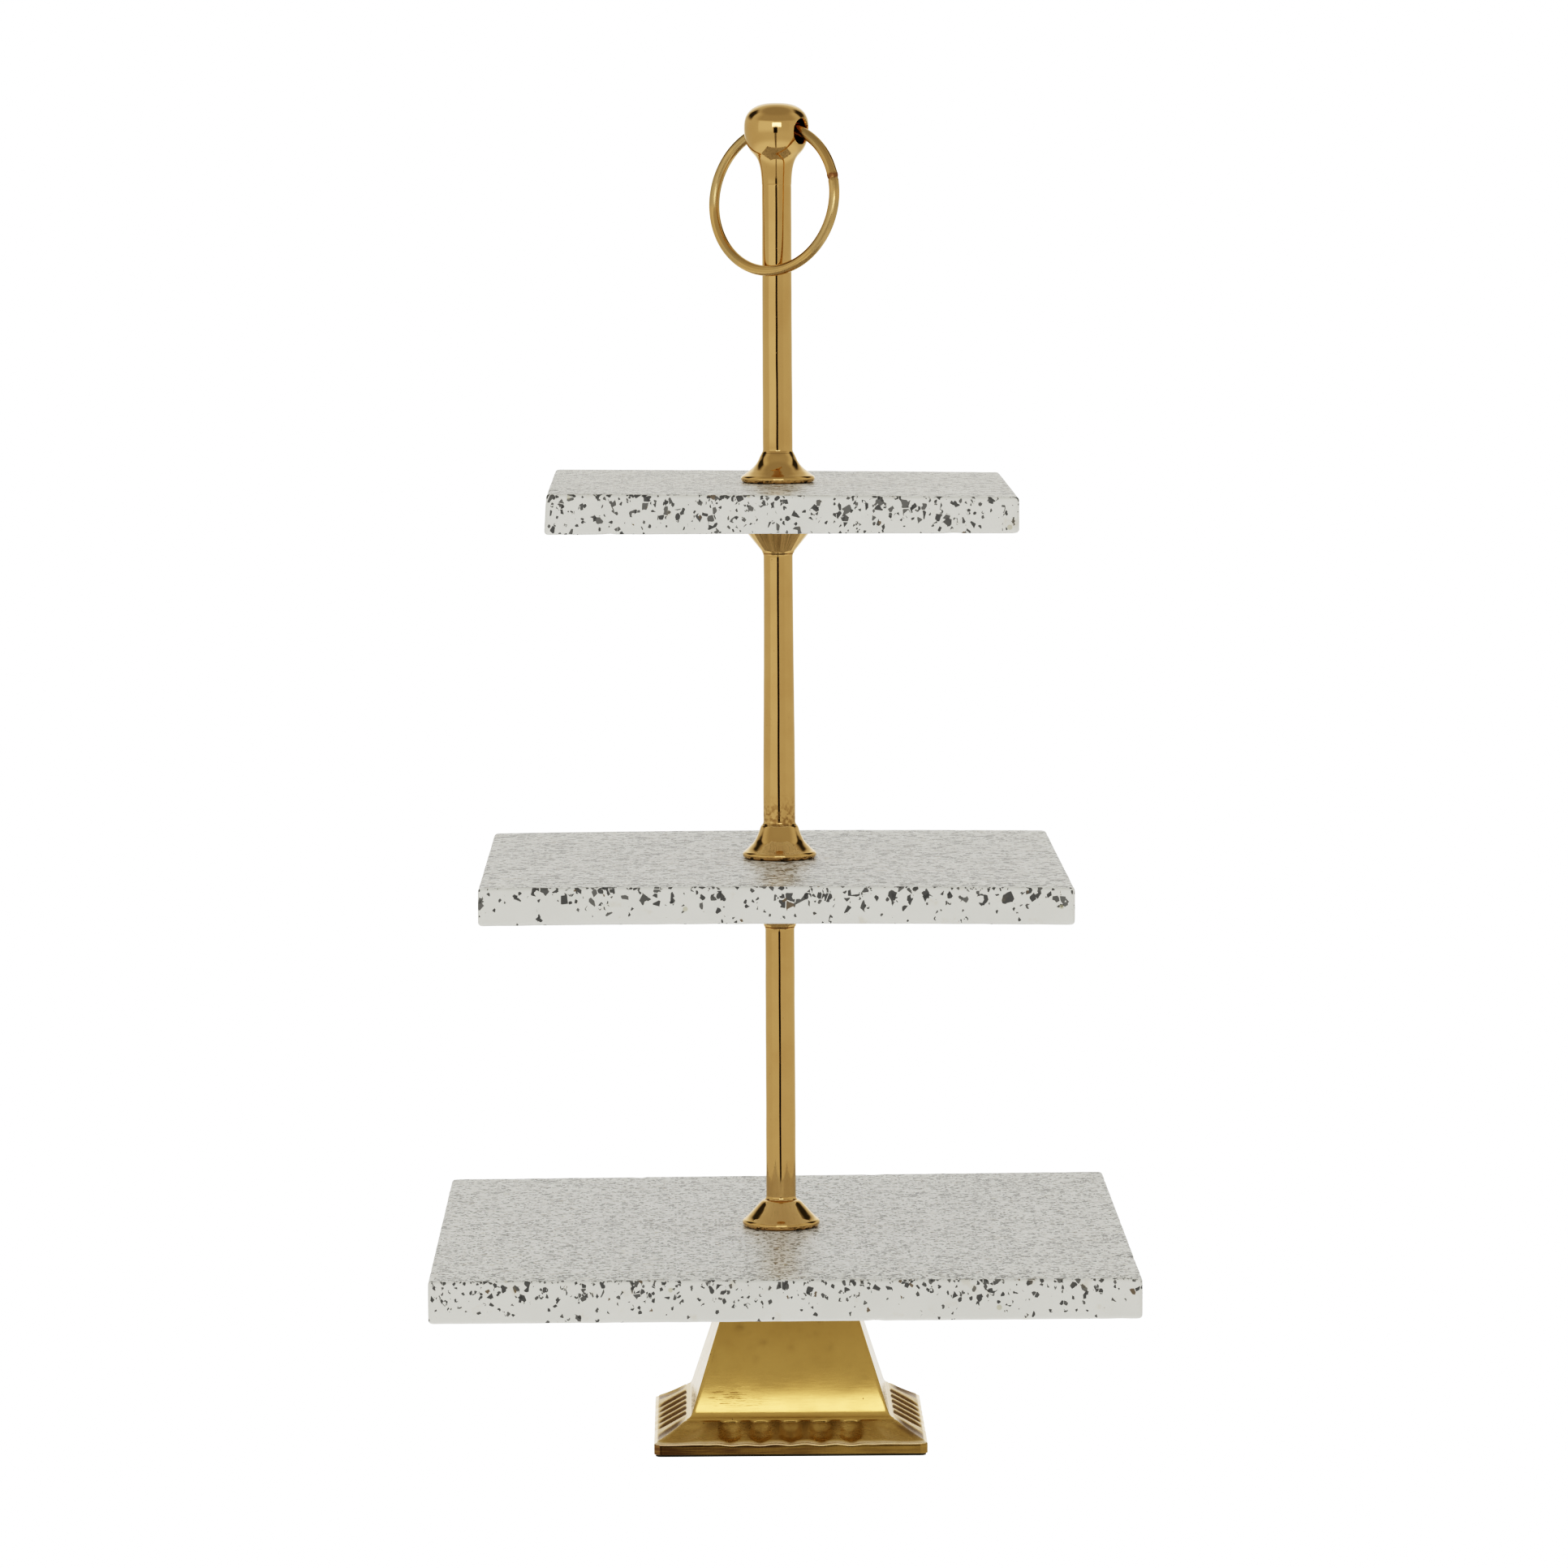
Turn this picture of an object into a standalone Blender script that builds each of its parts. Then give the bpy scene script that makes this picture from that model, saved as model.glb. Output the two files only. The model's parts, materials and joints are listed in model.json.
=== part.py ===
"""Three-tier square cake stand: terrazzo slabs clamped on a turned brass pole.

Metres, +Z up.  The origin is on the table under the middle of the bottom slab, the slab
sides run along X and Y, and the pole stands on the Z axis.
"""

import math

import bmesh
import bpy
from mathutils import Matrix, Vector

# ---- driving dimensions (metres, radians) ----
GAP = 0.0003                # clearance between neighbours that touch or clamp

# slabs: top surface height, side, thickness, and the side centre's distance from the pole
SLABS = {
    "bottom": {"top": 0.0932, "side": 0.3048, "thick": 0.0180, "offset": 0.0},
    "middle": {"top": 0.2585, "side": 0.2540, "thick": 0.0163, "offset": -0.0020},
    "top": {"top": 0.4256, "side": 0.2032, "thick": 0.0170, "offset": 0.0010},
}
SLAB_CORNER = 0.0030        # radius of the upright corners
SLAB_ARRIS = 0.0014         # radius of the worn top and bottom edges
SLAB_HOLE = 0.0042

# bell collars that stand on the slabs: rim radius, height of the rim bead, and the flank from
# its lip round the pole down to the bead, as (radius, height above the slab)
COLLARS = {
    "bottom": {"rim": 0.0173, "bead": 0.0042,
               "flank": ((0.0071, 0.0118), (0.0087, 0.0113), (0.0134, 0.0077), (0.0160, 0.0058))},
    "middle": {"rim": 0.0164, "bead": 0.0034,
               "flank": ((0.0077, 0.0146), (0.0086, 0.0138), (0.0093, 0.0115), (0.0110, 0.0087),
                         (0.0129, 0.0064), (0.0152, 0.0044))},
    "top": {"rim": 0.0164, "bead": 0.0034,
            "flank": ((0.0071, 0.0128), (0.0083, 0.0117), (0.0095, 0.0102), (0.0106, 0.0085),
                      (0.0124, 0.0066), (0.0150, 0.0048))},
}
CONE_LIP = 0.0070           # radius of the cone's lower edge, round the pole
CONE_HIGH = 0.0139
CONE_RIM = 0.0164
CONE_RIM_HIGH = 0.0016
SOCKET_DEPTH = 0.0020       # how far a pole end sits down in a collar or up in a cone

POLE_R = 0.00645
POLE_BORE = 0.0052
INSERT_R = 0.0049
INSERT_LONG = 0.0120
INSERT_SET_BACK = 0.0005
STUD_R = 0.0030
STUD_HOLE = STUD_R + GAP
STUD_CHAMFER = 0.0006

PAD_R = 0.0145
PAD_THICK = 0.0009
PAD_RECESS = PAD_THICK + GAP

# cast foot: a fluted square plinth under a tapering square neck
FOOT_HALF = 0.0603
FOOT_OFFSET = 0.0032        # the casting's centre from the pole axis
FELT_HALF = 0.0595
FELT_THICK = 0.0006
RIM_TOP = 0.0056
CREASE_HALF = 0.0446
CREASE_Z = 0.0134
NECK = ((0.0170, 0.0434), (0.0250, 0.0408), (0.0360, 0.0371))   # height, half width
NECK_TOP_HALF = 0.0230
FOOT_CORNER = 0.0025
FOOT_WALL = 0.0045
PLATE_THICK = 0.0050
FLUTES = 5
FLUTE_PITCH = 0.0132
FLUTE_HALF = 0.0050
FLUTE_DEPTH = 0.0017
FOOT_WASHER_R = 0.0080
WASHER_THICK = 0.0012
NUT_FLATS = 0.0100
NUT_HIGH = 0.0050

# ball finial with its cross hole, and the lifting ring in it
BALL_R = 0.0141
BALL_MIDDLE = 0.5819        # height of the widest level
BALL_DOME = 0.0110          # from the widest level up to the crown
BALL_DOME_POWER = 2.5
BALL_BELLY = 0.0150         # vertical half axis of the lower part
BALL_BELLY_POWER = 2.3
NECK_FLARE_Z = 0.5702       # level where the ball turns into the flared neck
NECK_FLARE = 0.0034
NECK_FLARE_FALL = 0.0040
FINIAL_FOOT = 0.5570
SPIGOT_R = 0.0049
SPIGOT_LONG = 0.0120
RING_HOLE_R = 0.0050
RING_HOLE_Z = 0.58025
RING_R = 0.0319
WIRE_R = 0.0024
RING_YAW = math.radians(35.2)
RING_LEAN = math.radians(8.6)
RING_CENTRE = Vector((-0.00123, -0.00450, 0.5508))

SEGMENTS = 32               # round a visible turned piece
HIDDEN_SEGMENTS = 20        # round a piece that the assembly hides

BRASS = ((0.52, 0.33, 0.10, 1.0), 0.18, 1.0)
CAST_BRASS = ((0.42, 0.26, 0.08, 1.0), 0.32, 1.0)
STEEL = ((0.45, 0.45, 0.46, 1.0), 0.35, 1.0)
TERRAZZO = ((0.66, 0.65, 0.61, 1.0), 0.55, 0.0)
RUBBER = ((0.03, 0.03, 0.03, 1.0), 0.75, 0.0)
FELT = ((0.05, 0.05, 0.045, 1.0), 0.95, 0.0)


def clear_scene():
    for old in list(bpy.data.objects):
        bpy.data.objects.remove(old, do_unlink=True)


def finish_material(name, finish):
    colour, roughness, metallic = finish
    material = bpy.data.materials.new(name)
    material.use_nodes = True
    shader = material.node_tree.nodes["Principled BSDF"]
    shader.inputs["Base Color"].default_value = colour
    shader.inputs["Roughness"].default_value = roughness
    shader.inputs["Metallic"].default_value = metallic
    return material


def add_piece(name, bm, finish, sharp=30.0):
    """Turn a bmesh into a named object with its own material."""
    bmesh.ops.recalc_face_normals(bm, faces=bm.faces)
    mesh = bpy.data.meshes.new(name)
    bm.to_mesh(mesh)
    bm.free()
    mesh.shade_smooth()
    mesh.set_sharp_from_angle(angle=math.radians(sharp))
    piece = bpy.data.objects.new(name, mesh)
    bpy.context.collection.objects.link(piece)
    piece.data.materials.append(finish_material(name + "_finish", finish))
    return piece


def turned_mesh(outline, segments):
    """Spin a closed outline of (radius, height) about Z; ends on the axis weld shut."""
    bm = bmesh.new()
    verts = [bm.verts.new((radius, 0.0, height)) for radius, height in outline]
    edges = [bm.edges.new(pair) for pair in zip(verts, verts[1:])]
    if outline[0][0] > 0.0:
        edges.append(bm.edges.new((verts[-1], verts[0])))
    bmesh.ops.spin(bm, geom=verts + edges, cent=(0, 0, 0), axis=(0, 0, 1),
                   angle=math.tau, steps=segments, use_merge=True)
    bmesh.ops.remove_doubles(bm, verts=bm.verts, dist=1e-7)
    return bm


def turned(name, outline, finish, segments=SEGMENTS):
    return add_piece(name, turned_mesh(outline, segments), finish)


def tube_outline(outer, bore, low, high):
    return [(outer, high), (outer, low), (bore, low), (bore, high)]


def cutter(name, bm):
    """A hidden tool solid for a Boolean cut."""
    tool = add_piece(name, bm, STEEL)
    tool.hide_render = True
    tool.display_type = "WIRE"
    return tool


def cut(piece, tool):
    boolean = piece.modifiers.new("cut_" + tool.name, "BOOLEAN")
    boolean.operation = "DIFFERENCE"
    boolean.solver = "EXACT"
    boolean.object = tool


def square_ring(bm, half, corner, height, stations, dips=None, arc_steps=3):
    """One level of a rounded square: stations are -1..1 along each straight side."""
    straight = half - corner
    ring = []
    for side in range(4):
        turn = Matrix.Rotation(math.pi / 2 * side, 3, "Z")
        for number, station in enumerate(stations):
            dip = dips[number] if dips else 0.0
            point = Vector((station * straight, -half, height - dip))
            ring.append(bm.verts.new(turn @ point))
        for step in range(1, arc_steps):
            angle = math.pi / 2 * step / arc_steps
            point = Vector((straight + corner * math.sin(angle),
                            -straight - corner * math.cos(angle), height))
            ring.append(bm.verts.new(turn @ point))
    return ring


def skin_rings(bm, rings):
    """Join rings of equal count from the bottom up, with a flat cap at each end."""
    for low, high in zip(rings, rings[1:]):
        count = len(low)
        for k in range(count):
            after = (k + 1) % count
            bm.faces.new((low[k], low[after], high[after], high[k]))
    bm.faces.new(list(reversed(rings[0])))
    bm.faces.new(rings[-1])


def slab(tier, size):
    """A stone slab with rounded corners, worn arrises and a clearance hole on the pole axis."""
    half = size["side"] / 2
    base = size["top"] - size["thick"]
    stations = (-1.0, 1.0)
    levels = []
    for step in range(4):
        angle = math.pi / 2 * step / 3
        levels.append((SLAB_ARRIS * (1 - math.sin(angle)), SLAB_ARRIS * (1 - math.cos(angle))))
    bm = bmesh.new()
    rings = [square_ring(bm, half - inset, SLAB_CORNER - inset, base + rise, stations)
             for inset, rise in levels]
    rings += [square_ring(bm, half - inset, SLAB_CORNER - inset, size["top"] - rise, stations)
              for inset, rise in reversed(levels)]
    skin_rings(bm, rings)
    stone = add_piece(tier + "_slab", bm, TERRAZZO)
    stone.location.x = size["offset"]
    drill_outline = [(0.0, size["top"] + 0.002), (SLAB_HOLE, size["top"] + 0.002),
                     (SLAB_HOLE, base - 0.002), (0.0, base - 0.002)]
    cut(stone, cutter(tier + "_slab_drill", turned_mesh(drill_outline, HIDDEN_SEGMENTS)))


def pad(name, low):
    """A soft ring washer between stone and brass, with its underside at low."""
    turned(name, tube_outline(PAD_R, SLAB_HOLE, low, low + PAD_THICK), RUBBER, HIDDEN_SEGMENTS)


def collar(tier, size, low):
    """A bell on top of a slab: beaded rim, hollow flank, socket for the pole, pad recess."""
    rim = size["rim"]
    bead = size["bead"]
    high = low + size["flank"][0][1]
    outline = [(radius, low + height) for radius, height in size["flank"]]
    outline += [(rim - 0.0008, low + bead * 0.92), (rim, low + bead * 0.5), (rim - 0.0008, low)]
    outline += [(PAD_R + GAP, low), (PAD_R + GAP, low + PAD_RECESS)]
    outline += [(STUD_HOLE, low + PAD_RECESS), (STUD_HOLE, high - SOCKET_DEPTH)]
    outline += [(POLE_R + GAP, high - SOCKET_DEPTH), (POLE_R + GAP, high)]
    turned(tier + "_collar", outline, BRASS)
    pad(tier + "_slab_pad_upper", low + GAP / 2)
    return high


def support_cone(tier, high):
    """The inverted cone that carries a slab: flat rim above, socket for the pole below."""
    low = high - CONE_HIGH
    mouth = POLE_R + GAP
    outline = [(CONE_RIM - 0.0005, high), (CONE_RIM, high - 0.0005)]
    outline += [(CONE_RIM, high - CONE_RIM_HIGH), (CONE_RIM - 0.0010, high - CONE_RIM_HIGH - 0.0005)]
    outline += [(0.0073, low + 0.0008), (CONE_LIP, low), (mouth, low)]
    outline += [(mouth, low + SOCKET_DEPTH), (STUD_HOLE, low + SOCKET_DEPTH)]
    outline += [(STUD_HOLE, high - PAD_RECESS), (PAD_R + GAP, high - PAD_RECESS)]
    outline += [(PAD_R + GAP, high)]
    turned(tier + "_support_cone", outline, BRASS)
    pad(tier + "_slab_pad_lower", high - PAD_RECESS + GAP / 2)
    return low


def pole(name, low, high, inserts):
    """A plain tube, with a threaded insert fixed inside the ends that take a stud."""
    turned(name, tube_outline(POLE_R, POLE_BORE, low, high), BRASS)
    starts = {"bottom": low + INSERT_SET_BACK, "top": high - INSERT_SET_BACK - INSERT_LONG}
    for end in inserts:
        outline = tube_outline(INSERT_R, STUD_HOLE, starts[end], starts[end] + INSERT_LONG)
        turned(name + "_insert_" + end, outline, STEEL, HIDDEN_SEGMENTS)


def stud(name, low, high):
    """A length of M6 rod with chamfered ends."""
    tip = STUD_R - STUD_CHAMFER
    outline = [(0.0, high), (tip, high), (STUD_R, high - STUD_CHAMFER)]
    outline += [(STUD_R, low + STUD_CHAMFER), (tip, low), (0.0, low)]
    turned(name, outline, STEEL, HIDDEN_SEGMENTS)


def flute_stations():
    """Places along one side of the foot, -1..1, and how deep the flutes are there, 0..1."""
    straight = FOOT_HALF - FOOT_CORNER
    stations = [-1.0]
    depths = [0.0]
    for number in range(FLUTES):
        centre = (number - (FLUTES - 1) / 2) * FLUTE_PITCH
        for across in (-1.0, -0.5, 0.0, 0.5, 1.0):
            stations.append((centre + across * FLUTE_HALF) / straight)
            depths.append(1.0 - across * across)
    stations.append(1.0)
    depths.append(0.0)
    return stations, depths


def base_foot(top):
    """Hollow casting: rim, fluted band, crease and tapering neck, open underneath."""
    low = FELT_THICK + GAP
    stations, depths = flute_stations()
    no_dips = [0.0] * len(stations)
    band = ((0.10, 0.0), (0.32, 1.0), (0.66, 0.62), (1.0, 0.0))    # way up the band, flute depth
    bm = bmesh.new()
    rings = [square_ring(bm, FOOT_HALF, FOOT_CORNER, low, stations, no_dips)]
    rings.append(square_ring(bm, FOOT_HALF, FOOT_CORNER, RIM_TOP - 0.0006, stations, no_dips))
    rings.append(square_ring(bm, FOOT_HALF - 0.0006, FOOT_CORNER, RIM_TOP, stations, no_dips))
    for way, depth in band:
        half = FOOT_HALF + (CREASE_HALF - FOOT_HALF) * way
        height = RIM_TOP + (CREASE_Z - RIM_TOP) * way
        dips = [FLUTE_DEPTH * depth * share for share in depths]
        rings.append(square_ring(bm, half, FOOT_CORNER, height, stations, dips))
    for height, half in NECK + ((top, NECK_TOP_HALF),):
        rings.append(square_ring(bm, half, FOOT_CORNER * 0.5, height, stations, no_dips))
    skin_rings(bm, rings)
    foot = add_piece("base_foot", bm, CAST_BRASS)
    foot.location.x = FOOT_OFFSET

    hollow = bmesh.new()
    ends = (-1.0, 1.0)
    ceiling = top - PLATE_THICK
    levels = ((low - 0.002, FOOT_HALF - FOOT_WALL), (0.0052, FOOT_HALF - FOOT_WALL),
              (CREASE_Z - 0.003, CREASE_HALF - FOOT_WALL), (ceiling, NECK_TOP_HALF - 0.0030))
    skin_rings(hollow, [square_ring(hollow, half, FOOT_CORNER * 0.5, height, ends)
                        for height, half in levels])
    core = cutter("base_core", hollow)
    core.location.x = FOOT_OFFSET
    cut(foot, core)

    bore = [(0.0, top + 0.002), (PAD_R + GAP, top + 0.002), (PAD_R + GAP, top - PAD_RECESS),
            (STUD_HOLE, top - PAD_RECESS), (STUD_HOLE, ceiling - 0.002), (0.0, ceiling - 0.002)]
    cut(foot, cutter("base_drill", turned_mesh(bore, HIDDEN_SEGMENTS)))
    pad("bottom_slab_pad_lower", top - PAD_RECESS + GAP / 2)
    return ceiling


def base_felt():
    """The felt sheet that closes the casting and stands on the table."""
    bm = bmesh.new()
    stations = (-1.0, 1.0)
    skin_rings(bm, [square_ring(bm, FELT_HALF, FOOT_CORNER, height, stations)
                    for height in (0.0, FELT_THICK)])
    add_piece("base_felt", bm, FELT).location.x = FOOT_OFFSET


def hex_nut(name, low):
    """A hexagon nut on the Z axis, drilled for the stud."""
    bm = bmesh.new()
    radius = NUT_FLATS / math.sqrt(3)
    bmesh.ops.create_cone(bm, cap_ends=True, segments=6, radius1=radius, radius2=radius,
                          depth=NUT_HIGH, matrix=Matrix.Translation((0, 0, low + NUT_HIGH / 2)))
    nut = add_piece(name, bm, STEEL)
    hole = [(0.0, low + NUT_HIGH + 0.001), (STUD_HOLE, low + NUT_HIGH + 0.001),
            (STUD_HOLE, low - 0.001), (0.0, low - 0.001)]
    cut(nut, cutter(name + "_drill", turned_mesh(hole, HIDDEN_SEGMENTS)))


def ball_finial():
    """Flattened ball on a flared neck, with a spigot for the tube and a cross hole."""
    outline = []
    dome_steps = 6
    for step in range(dome_steps + 1):
        angle = math.pi / 2 * step / dome_steps
        outline.append((BALL_R * math.sin(angle) ** (2 / BALL_DOME_POWER),
                        BALL_MIDDLE + BALL_DOME * math.cos(angle) ** (2 / BALL_DOME_POWER)))
    belly_steps = 4
    drop = BALL_MIDDLE - NECK_FLARE_Z
    for step in range(1, belly_steps + 1):
        down = drop * step / belly_steps
        share = 1 - (down / BALL_BELLY) ** BALL_BELLY_POWER
        outline.append((BALL_R * share ** (1 / BALL_BELLY_POWER), BALL_MIDDLE - down))
    for down in (0.0016, 0.0036, 0.0066, 0.0104):
        flare = NECK_FLARE * math.exp(-down / NECK_FLARE_FALL)
        outline.append((POLE_R + flare, NECK_FLARE_Z - down))
    outline += [(POLE_R, FINIAL_FOOT), (SPIGOT_R, FINIAL_FOOT)]
    outline += [(SPIGOT_R, FINIAL_FOOT - SPIGOT_LONG), (0.0, FINIAL_FOOT - SPIGOT_LONG)]
    ball = turned("ball_finial", outline, BRASS)

    reach = BALL_R + 0.003
    hole = turned_mesh([(0.0, reach), (RING_HOLE_R, reach), (RING_HOLE_R, -reach), (0.0, -reach)],
                       HIDDEN_SEGMENTS)
    tool = cutter("ring_hole_drill", hole)
    tool.rotation_euler = (math.pi / 2, 0.0, math.pi / 2 - RING_YAW)
    tool.location = (0.0, 0.0, RING_HOLE_Z)
    cut(ball, tool)


def lifting_ring():
    """A closed wire ring through the ball; its origin is on the hinge line."""
    along = Vector((math.cos(RING_YAW), -math.sin(RING_YAW), 0.0))
    forward = Vector((-math.sin(RING_YAW), -math.cos(RING_YAW), 0.0))
    upward = Vector((0, 0, 1)) * math.cos(RING_LEAN) - forward * math.sin(RING_LEAN)
    facing = along.cross(upward)
    hinge = Vector((0.0, 0.0, RING_HOLE_Z))
    ring_steps = 48
    wire_steps = 10
    bm = bmesh.new()
    loops = []
    for i in range(ring_steps):
        turn = math.tau * i / ring_steps
        outward = along * math.cos(turn) + upward * math.sin(turn)
        loop = []
        for j in range(wire_steps):
            roll = math.tau * j / wire_steps
            side = outward * math.cos(roll) + facing * math.sin(roll)
            loop.append(bm.verts.new(RING_CENTRE - hinge + outward * RING_R + side * WIRE_R))
        loops.append(loop)
    for i in range(ring_steps):
        here = loops[i]
        there = loops[(i + 1) % ring_steps]
        for j in range(wire_steps):
            after = (j + 1) % wire_steps
            bm.faces.new((here[j], there[j], there[after], here[after]))
    add_piece("lifting_ring", bm, BRASS).location = hinge


def build():
    clear_scene()
    slab_low = {tier: size["top"] - size["thick"] for tier, size in SLABS.items()}
    collar_low = {tier: size["top"] + GAP for tier, size in SLABS.items()}

    for tier, size in SLABS.items():
        slab(tier, size)
    collar_high = {tier: collar(tier, COLLARS[tier], collar_low[tier]) for tier in SLABS}
    cone_low = {tier: support_cone(tier, slab_low[tier] - GAP) for tier in ("middle", "top")}

    base_felt()
    ceiling = base_foot(slab_low["bottom"] - GAP)
    washer_low = ceiling - GAP - WASHER_THICK
    nut_low = washer_low - GAP - NUT_HIGH
    turned("base_washer", tube_outline(FOOT_WASHER_R, STUD_HOLE, washer_low, ceiling - GAP),
           STEEL, HIDDEN_SEGMENTS)
    hex_nut("base_nut", nut_low)

    sit = SOCKET_DEPTH - GAP
    reach = INSERT_SET_BACK + INSERT_LONG * 0.8
    lower = (collar_high["bottom"] - sit, cone_low["middle"] + sit)
    upper = (collar_high["middle"] - sit, cone_low["top"] + sit)
    handle = (collar_high["top"] - sit, FINIAL_FOOT - GAP)
    pole("lower_pole", lower[0], lower[1], ("bottom", "top"))
    pole("upper_pole", upper[0], upper[1], ("bottom", "top"))
    pole("handle_pole", handle[0], handle[1], ("bottom",))
    stud("base_stud", nut_low - 0.0025, lower[0] + reach)
    stud("middle_stud", lower[1] - reach, upper[0] + reach)
    stud("top_stud", upper[1] - reach, handle[0] + reach)

    ball_finial()
    lifting_ring()


build()
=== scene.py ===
import json
import math
import random

import bmesh
import bpy
from mathutils import Matrix, Vector, noise


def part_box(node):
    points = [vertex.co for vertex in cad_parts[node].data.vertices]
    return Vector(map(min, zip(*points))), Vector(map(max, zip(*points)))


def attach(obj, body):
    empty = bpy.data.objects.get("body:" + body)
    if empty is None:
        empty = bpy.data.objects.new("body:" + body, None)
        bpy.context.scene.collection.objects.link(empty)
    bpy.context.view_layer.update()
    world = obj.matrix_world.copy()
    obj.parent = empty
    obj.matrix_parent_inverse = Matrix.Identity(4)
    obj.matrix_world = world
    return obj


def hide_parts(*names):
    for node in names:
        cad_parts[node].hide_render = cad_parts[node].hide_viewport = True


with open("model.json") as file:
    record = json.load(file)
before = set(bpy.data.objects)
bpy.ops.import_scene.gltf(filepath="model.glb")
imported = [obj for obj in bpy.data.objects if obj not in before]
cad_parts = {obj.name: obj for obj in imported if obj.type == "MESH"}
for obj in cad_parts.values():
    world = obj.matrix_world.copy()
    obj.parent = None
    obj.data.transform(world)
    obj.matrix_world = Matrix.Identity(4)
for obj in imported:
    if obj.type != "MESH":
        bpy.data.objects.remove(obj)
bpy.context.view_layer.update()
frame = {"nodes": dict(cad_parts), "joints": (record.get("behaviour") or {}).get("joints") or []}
mm = 0.001


def boxOf(node):        # lowest and highest corner of a CAD node, in millimetres
    low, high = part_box(node)
    return low / mm, high / mm


class Wire:             # one socket, so that shader maths reads as plain expressions
    def __init__(self, finish, socket):
        self.finish = finish
        self.socket = socket

    def maths(self, operation, first, second=0.0):
        kind = "ShaderNodeMath"
        if self.socket.type == "VECTOR":
            kind = "ShaderNodeVectorMath"
            first, second = [(value,) * 3 if isinstance(value, (int, float)) else value
                             for value in (first, second)]
        return self.finish.node(kind, {"operation": operation}, {0: first, 1: second})

    def __add__(self, other):
        return self.maths("ADD", self, other)

    def __radd__(self, other):
        return self.maths("ADD", other, self)

    def __sub__(self, other):
        return self.maths("SUBTRACT", self, other)

    def __rsub__(self, other):
        return self.maths("SUBTRACT", other, self)

    def __mul__(self, other):
        return self.maths("MULTIPLY", self, other)

    def __rmul__(self, other):
        return self.maths("MULTIPLY", other, self)

    def __truediv__(self, other):
        return self.maths("DIVIDE", self, other)

    def __gt__(self, other):
        return self.maths("GREATER_THAN", self, other)

    def __lt__(self, other):
        return self.maths("LESS_THAN", self, other)

    def ramp(self, low, high, toLow=0.0, toHigh=1.0):       # a smooth step, held at both ends
        return self.finish.node("ShaderNodeMapRange", {"interpolation_type": "SMOOTHSTEP"}, {
            "Value": self, "From Min": low, "From Max": high, "To Min": toLow, "To Max": toHigh})

    def part(self, axis):
        return self.finish.node("ShaderNodeSeparateXYZ", {}, {0: self}, axis)

    def other(self, output):                                # another output of the same node
        return Wire(self.finish, self.socket.node.outputs[output])


class Finish:           # the node tree of a material or of the world
    def __init__(self, owner):
        owner.use_nodes = True
        self.owner = owner
        self.tree = owner.node_tree
        self.tree.nodes.clear()

    def node(self, kind, settings=None, sockets=None, output=0):
        made = self.tree.nodes.new(kind)
        for name, value in (settings or {}).items():
            setattr(made, name, value)
        for name, value in (sockets or {}).items():
            socket = made.inputs[name]
            if isinstance(value, Wire):
                self.tree.links.new(value.socket, socket)
            elif socket.type == "RGBA":
                socket.default_value = (*value[:3], 1.0)
            else:
                socket.default_value = value
        return Wire(self, made.outputs[output]) if made.outputs else None

    def place(self):                                        # the piece's own place, in millimetres
        return self.node("ShaderNodeTexCoord", output="Object") * (1 / mm)

    def clouds(self, place, size, detail=3.0, rough=0.5, output=0):
        return self.node("ShaderNodeTexNoise", {}, {
            "Vector": place, "Scale": 1.0 / size, "Detail": detail, "Roughness": rough}, output)

    def cells(self, place, feature, output="Distance"):
        return self.node("ShaderNodeTexVoronoi", {"feature": feature}, {
            "Vector": place, "Scale": 1.0}, output)

    def mix(self, factor, first, second):
        return self.node("ShaderNodeMix", {"data_type": "RGBA"}, {0: factor, 6: first, 7: second}, 2)

    def bump(self, height, depth):                          # depth in millimetres
        return self.node("ShaderNodeBump", {}, {"Height": height, "Distance": depth * mm}, "Normal")

    def surface(self, **sockets):
        named = {name.replace("_", " "): value for name, value in sockets.items()}
        shader = self.node("ShaderNodeBsdfPrincipled", {}, named, "BSDF")
        self.node("ShaderNodeOutputMaterial", {}, {"Surface": shader})
        return self.owner


def newFinish(name):
    return Finish(bpy.data.materials.new(name))


# meshes: every shape is a set of closed loops of points, in millimetres, joined one to the next
def meshPiece(name, points, faces, material, sharp, marks=None):
    mesh = bpy.data.meshes.new(name)
    mesh.from_pydata([Vector(point) * mm for point in points], [], faces)
    turner = bmesh.new()
    turner.from_mesh(mesh)
    bmesh.ops.recalc_face_normals(turner, faces=turner.faces)
    turner.to_mesh(mesh)
    turner.free()
    for label, values in (marks or {}).items():
        mesh.attributes.new(label, "FLOAT", "POINT").data.foreach_set("value", values)
    mesh.shade_smooth()
    mesh.set_sharp_from_angle(angle=math.radians(sharp))
    mesh.materials.append(material)
    piece = bpy.data.objects.new(name, mesh)
    bpy.context.scene.collection.objects.link(piece)
    return piece


def skin(name, loops, material, sharp=50.0, closed=True, marks=None):
    points = []
    starts = []
    for loop in loops:
        starts.append((len(points), len(loop)))
        points += loop
    faces = []
    following = starts[1:] + starts[:1] if closed else starts[1:]
    for (here, count), (there, others) in zip(starts, following):
        for k in range(max(count, others)):
            after = (k + 1) % max(count, others)
            if others == 1:                                 # a loop of one point is a tip on the axis
                faces.append((here + k, here + after, there))
            elif count == 1:
                faces.append((here, there + after, there + k))
            else:
                faces.append((here + k, here + after, there + after, there + k))
    return meshPiece(name, points, faces, material, sharp, marks)


def spun(profile, segments, wobble=None):                   # profile of (radius, height) about the pole
    loops = []
    for radius, height in profile:
        loop = []
        for k in range(segments if radius > 0 else 1):
            angle = math.tau * k / segments
            reach = radius + (wobble(angle, height) if wobble else 0.0)
            loop.append(Vector((reach * math.cos(angle), reach * math.sin(angle), height)))
        loops.append(loop)
    return loops


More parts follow.
